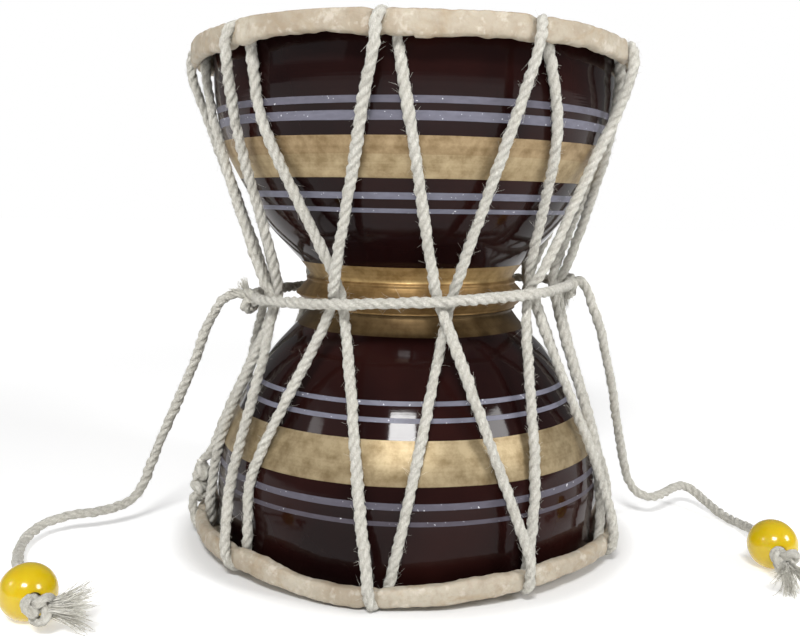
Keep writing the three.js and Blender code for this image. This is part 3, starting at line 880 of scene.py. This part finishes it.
def lacingRoute(startIndex, side):
    route, upper = [], True
    last = wrapRoute(startIndex, False)[-1]
    for leg in range(lacing["points"]):
        index = startIndex - leg - 1
        turn = wrapRoute(index, upper)
        route += [*legRoute(last, turn[0], index, side), *turn]
        last = turn[-1]
        upper = not upper
    angle = lacing["firstAngle"] + lacing["pointStep"] * startIndex - lacing["knotBack"]
    place = polar(angle, lacing["knotRadius"], lacing["knotHeight"])
    run = np.array([0, 0, lacing["knotRun"]])
    return [place + run, *route, place - run], place


passes = [
    {"name": "lacingFirstPass", "node": "lacing_first_pass", "start": 0, "side": -1, "seed": 101,
     "knot": "lacingKnotLeft", "knotNode": "lacing_knot_left"},
    {"name": "lacingSecondPass", "node": "lacing_second_pass", "start": 7, "side": 1, "seed": 201,
     "knot": "lacingKnotBack", "knotNode": "lacing_knot_back"},
]


def knotShape(place, facing, size, seed, thickness=0.95):
    # A tied overhand knot: the open trefoil (sin t + 2 sin 2t, cos t - 2 cos 2t, -sin 3t),
    # turned to face outwards, with its two ends tucked into it.
    t = np.linspace(0.22, 2 * math.pi - 0.22, 90)
    loop = np.stack([np.sin(t) + 2 * np.sin(2 * t), np.cos(t) - 2 * np.cos(2 * t), -1.15 * np.sin(3 * t)], -1)
    facing = unit(np.asarray(facing, float))
    level = unit(np.cross([0, 0, 1.0], facing))
    upright = np.cross(facing, level)
    axes = np.stack([level, upright, facing])
    path = evenly(loop * np.asarray(size) @ axes, 0.7) + place
    return twistedCord(path, seed, thickness)


def hitchShape(place, facing, seed):
    # Two tied knots, one close under the other, with the cord's own run through the middle.
    through = np.stack([np.zeros(12), np.zeros(12), np.linspace(7, -7, 12)], -1)
    upper = knotShape(place + [0, 0, 2.6], facing + [0, 0, 0.3], (0.8, 0.84, 1.0), seed, 1.12)
    lower = knotShape(place - [0, 0, 2.9], facing + [0.2, 0.5, -0.3], (0.86, 0.8, 1.0), seed + 3, 1.12)
    return joinShapes([upper, lower, twistedCord(evenly(through, 0.9) + place, seed + 1, 0.95)])


for item in passes:
    route, place = lacingRoute(item["start"], item["side"])
    path = smoothPath(route, cord["ringStep"])
    seed = item["seed"]
    makeCord(item["name"], twistedCord(path, seed), item["node"])
    makeCord(item["knot"], hitchShape(place, unit(place * [1, 1, 0]), seed + 50), item["knotNode"])
    makeCord(item["name"] + "Fuzz", fuzzAlong(path, seed + 7))
print("lacing made")


def tailShape(start, heading, seed, shortest=7.5, longest=11.5, count=90):
    # A frayed end: three bundles that part from the knot, each of many fine fibres.
    random = np.random.default_rng(seed)
    heading = unit(np.array(heading, float))
    level = unit(np.cross(heading, [0, 0, 1.0]))
    upright = np.cross(level, heading)
    shapes = []
    for bundle in range(3):
        turn = 2 * math.pi * bundle / 3 + 0.5
        aside = math.cos(turn) * level + math.sin(turn) * upright
        spread = random.normal(0, 0.55, (count, 2))
        starts = start + aside * 1.0 + spread[:, :1] * level + spread[:, 1:] * upright
        headings = unit(heading + aside * random.uniform(0.15, 0.35) + random.normal(0, 0.12, (count, 3)))
        bends = aside * random.uniform(0.0, 0.25, (count, 1)) + random.normal(0, 0.12, (count, 3))
        lengths = random.uniform(shortest, longest, count)
        shapes.append(fibreShapes(starts, headings, bends, lengths, random.uniform(0.09, 0.2, count), 5))
    return joinShapes(shapes)


# Waist cord.
waistKnot = {
    "radius": 56.0,
    "drop": 1,
    "tilt": 0.2,
    "size": (1.15, 1.2, 1.4),
    "tailStart": 2.2,
    "tailLengths": (3.0, 6.0),
    "tailFibres": 34,
}
leftAngle, rightAngle, knotTurn = lacing["leftKnotAngle"], lacing["rightKnotAngle"], lacing["knotTurn"]
# name, node, first and last angle, seed
waistRuns = [("waistCordFront", "waist_cord_front", leftAngle + knotTurn, rightAngle - knotTurn, 301),
             ("waistCordBack", "waist_cord_back", rightAngle + knotTurn, leftAngle + 360 - knotTurn, 311)]
# name, node, angle, the way its frayed end points, seed
waistKnots = [("waistKnotLeft", "waist_knot_left", leftAngle, (-0.55, -0.2, 0.8), 321),
              ("waistKnotRight", "waist_knot_right", rightAngle, (-0.3, -0.5, -0.8), 331)]


def waistRoute(fromAngle, toAngle):
    ends = [polar(a, lacing["waistEndRadius"], waistCordHeight(a)) for a in (fromAngle, toAngle)]
    route = [ends[0]]
    for crossing in range(-1, 2 * lacing["points"]):
        for turn in (-lacing["waistTurn"], lacing["waistTurn"]):
            angle = crossingAngle(crossing) + turn
            if fromAngle + 1 < angle < toAngle - 1:
                route.append(polar(angle, lacing["waistCordRadius"], waistCordHeight(angle)))
    return [*route, ends[1]]


for name, node, low, high, seed in waistRuns:
    path = smoothPath(waistRoute(low, high), cord["ringStep"])
    makeCord(name, twistedCord(path, seed), node)
    makeCord(name + "Fuzz", fuzzAlong(path, seed + 3))
for name, node, angle, tail, seed in waistKnots:
    place = polar(angle, waistKnot["radius"], waistCordHeight(angle) - waistKnot["drop"])
    knot = knotShape(place, polar(angle, 1, waistKnot["tilt"]), waistKnot["size"], seed)
    tailPlace = place + waistKnot["tailStart"] * unit(np.array(tail))
    frayed = tailShape(tailPlace, tail, seed + 2, *waistKnot["tailLengths"], waistKnot["tailFibres"])
    makeCord(name, joinShapes([knot, frayed]), node)
print("waist cord made")

# Strikers.
beads = {"radius": 8.0, "bore": 2.1, "segments": 72, "colour": (0.62, 0.435, 0.002)}
endKnot = {
    "reach": 13.2,  # from the bead's middle
    "size": (1.15, 1.15, 1.4),
    "tilt": (0, 0, 0.2),
    "tailStart": 2.5,
    "bareRings": 18,  # the cord's last rings, inside the bead, which have no fuzz
}
# places in millimetres, and the declared length in metres
strikers = [
    {
        "side": "Left", "node": "left", "length": 0.188, "seed": 401,
        "centre": (-105, -82, 8.05), "bore": (0.55, -0.83, 0.02), "tail": (0.96, 0.25, -0.1),
        "route": [(-56.8, -10.2, 84.6), (-60.6, -10.4, 85.0), (-64.2, -10.2, 83.4), (-67.2, -9.6, 79.4),
                  (-71.4, -8.7, 71.6), (-74.2, -8, 63.5), (-77.4, -7.3, 56), (-81.2, -6.6, 47.5),
                  (-85.5, -5.7, 38), (-89.3, -4.9, 29.5), (-92.8, -4.2, 21), (-95.8, -3.6, 13.8),
                  (-99.4, -5, 9.2), (-105.2, -9.2, 7.2), (-112, -12.8, 6.8), (-118.5, -15.2, 6.4),
                  (-123.8, -18.8, 5.4), (-126.8, -25.5, 4.2), (-126.3, -36.3, 3.2), (-122.8, -47, 3.4),
                  (-118, -58, 4.8), (-112.8, -68.6, 7)],
    },
    {
        "side": "Right", "node": "right", "length": 0.186, "seed": 501,
        "centre": (120.3, -35, 8.05), "bore": (-0.08, -1, -0.04), "tail": (-0.15, -0.94, -0.26),
        "route": [(57.6, 1.6, 90.2), (60.6, 1.7, 90.4), (63.0, 1.6, 87.0), (65, 1.6, 81.6), (68, 2, 74.2),
                  (70.9, 3.4, 63.8), (73.9, 5.4, 52.9), (76.4, 7.8, 41.4), (78.9, 10.2, 31),
                  (81.3, 12.2, 21.8), (83.8, 13.8, 14), (87.2, 13.4, 9.6), (91.6, 12, 8.2),
                  (96, 14.2, 8.4), (100.4, 18.4, 8.8), (105, 23.6, 8.8), (109.2, 26.8, 8),
                  (113.2, 25, 6.2), (115.8, 19.2, 4.2), (118.2, 12.6, 2.7), (120.4, 4.6, 2.4),
                  (121.9, -4.4, 3.4), (122.1, -13.4, 5.2), (121.6, -21.4, 7.1)],
    },
]


def makeBeadMaterial():
    material, tree, shader = startMaterial("yellowBead", Specular_IOR_Level=0.5, Coat_Weight=0.3,
                                           Coat_Roughness=0.08, Subsurface_Weight=0.15,
                                           Subsurface_Scale=0.003)
    place = objectPlace(tree)
    tone = noiseFac(tree, place, 120, 3.0)
    colour = mixColour(tree, tone, tuple(0.88 * c for c in beads["colour"]), beads["colour"])
    rough = timesPlus(tree, noiseFac(tree, place, 300, 3.0), 0.14, 0.12)
    normal = bump(tree, noiseFac(tree, place, 500, 2.0), 0.1, 0.0002)
    finishMaterial(tree, shader, Base_Color=colour, Roughness=rough, Normal=normal)
    return material


beadMaterial = makeBeadMaterial()


def beadShape(centre, bore):
    # A ball spun from one eased mouth of its bore to the other, and back along the bore.
    hole = beads["bore"]
    mouth = math.asin((hole + 0.5) / beads["radius"])
    arc = np.linspace(mouth, math.pi - mouth, 48)
    outside = np.stack([beads["radius"] * np.sin(arc), -beads["radius"] * np.cos(arc)], -1)
    top = outside[-1, 1]
    inside = [(hole + 0.15, top - 0.15), (hole, top - 0.6), (hole, 0),
              (hole, 0.6 - top), (hole + 0.15, 0.15 - top)]
    points, quads, triangles = spun(np.vstack([outside, inside]), beads["segments"])
    axis = unit(np.array(bore, float))
    level = unit(np.cross(axis, [0, 0, 1.0]))
    axes = np.stack([level, np.cross(axis, level), axis])
    return points @ axes + centre, quads, triangles


for item in strikers:
    side, node, seed = item["side"], item["node"], item["seed"]
    centre = np.array(item["centre"], float)
    bore = unit(np.array(item["bore"], float))
    route = [*item["route"], *(centre + bore * reach for reach in (-beads["radius"], 0, beads["radius"]))]
    path = smoothPath(route, cord["ringStep"])
    rope = makeCord("strikerCord" + side, twistedCord(path, seed), "striker_cord_" + node)
    bead = makeMesh("bead" + side, beadShape(centre, bore), beadMaterial, ["bead_" + node])
    place = centre + bore * endKnot["reach"]
    tail = unit(np.array(item["tail"], float))
    lump = knotShape(place, bore + endKnot["tilt"], endKnot["size"], seed + 5)
    frayed = tailShape(place + tail * endKnot["tailStart"], tail, seed + 9)
    knot = makeCord("endKnot" + side, joinShapes([lump, frayed]), "bead_knot_" + node)
    loose = makeCord("strikerFuzz" + side, fuzzAlong(path[:-endKnot["bareRings"]], seed + 3))
print("strikers made")

# Floor and light.
stageSettings = {
    "floorSize": 8.0,
    "floorColour": (0.83, 0.83, 0.83),
    # light of its own: how much is added between two distances from the middle
    "glows": [(0.0755, 0.087, 0.38), (0.2, 1.1, 0.48)],
    "skyColour": (1.0, 1.0, 1.0),
    "skyStrength": 0.27,
    "skySeen": 1.0,
}


def makeStage():
    mesh = bpy.data.meshes.new("floor")
    half = stageSettings["floorSize"] / 2
    corners = [(-half, -half, 0), (half, -half, 0), (half, half, 0), (-half, half, 0)]
    mesh.from_pydata(corners, [], [(0, 1, 2, 3)])
    floor = addObject("floor", mesh)
    material, tree, shader = startMaterial("paleFloor", Roughness=0.9, Specular_IOR_Level=0.1)
    shader.inputs["Base Color"].default_value = (*stageSettings["floorColour"], 1)
    shader.inputs["Emission Color"].default_value = (1, 1, 1, 1)
    place = objectPlace(tree)
    away = addNode(tree, "ShaderNodeVectorMath", {0: place}, operation="LENGTH").outputs["Value"]
    glow = 0.0
    for near, far, added in stageSettings["glows"]:
        step = mapRange(tree, away, near, far, added, interpolation_type="SMOOTHSTEP")
        glow = maths(tree, "ADD", step, glow)
    finishMaterial(tree, shader, Emission_Strength=glow)
    mesh.materials.append(material)
    world = bpy.data.worlds.new("studio")
    world.use_nodes = True
    bpy.context.scene.world = world
    tree = world.node_tree
    background = tree.nodes["Background"]
    background.inputs["Color"].default_value = (*stageSettings["skyColour"], 1)
    seen = addNode(tree, "ShaderNodeLightPath").outputs["Is Camera Ray"]
    lit, shown = stageSettings["skyStrength"], stageSettings["skySeen"]
    tree.links.new(timesPlus(tree, seen, shown - lit, lit), background.inputs["Strength"])
    bpy.context.scene.view_settings.view_transform = "Standard"


def areaLight(name, place, aim, size, watts):
    data = bpy.data.lights.new(name, "AREA")
    data.shape = "RECTANGLE"
    data.size, data.size_y = size
    data.energy = watts
    light = addObject(name, data)
    light.location = place
    light.rotation_mode = "QUATERNION"
    light.rotation_quaternion = (Vector(aim) - Vector(place)).to_track_quat("-Z", "Y")


# place, aim and size in metres, and watts
lights = {
    "key": ((-0.06, -0.79, 0.755), (0, 0, 0.05), (0.27, 0.13), 8.4),
    "left": ((-1.5, -0.9, 0.9), (0, 0, 0.08), (1.6, 1.2), 3.1),
    "leftSpark": ((-1.21, -0.51, 0.78), (0, 0, 0.05), (0.22, 0.22), 1.2),
    "right": ((1.18, -0.575, 0.77), (0, 0, 0.05), (0.36, 0.4), 9.0),
}
makeStage()
for name, values in lights.items():
    areaLight(name, *values)
print("stage made")
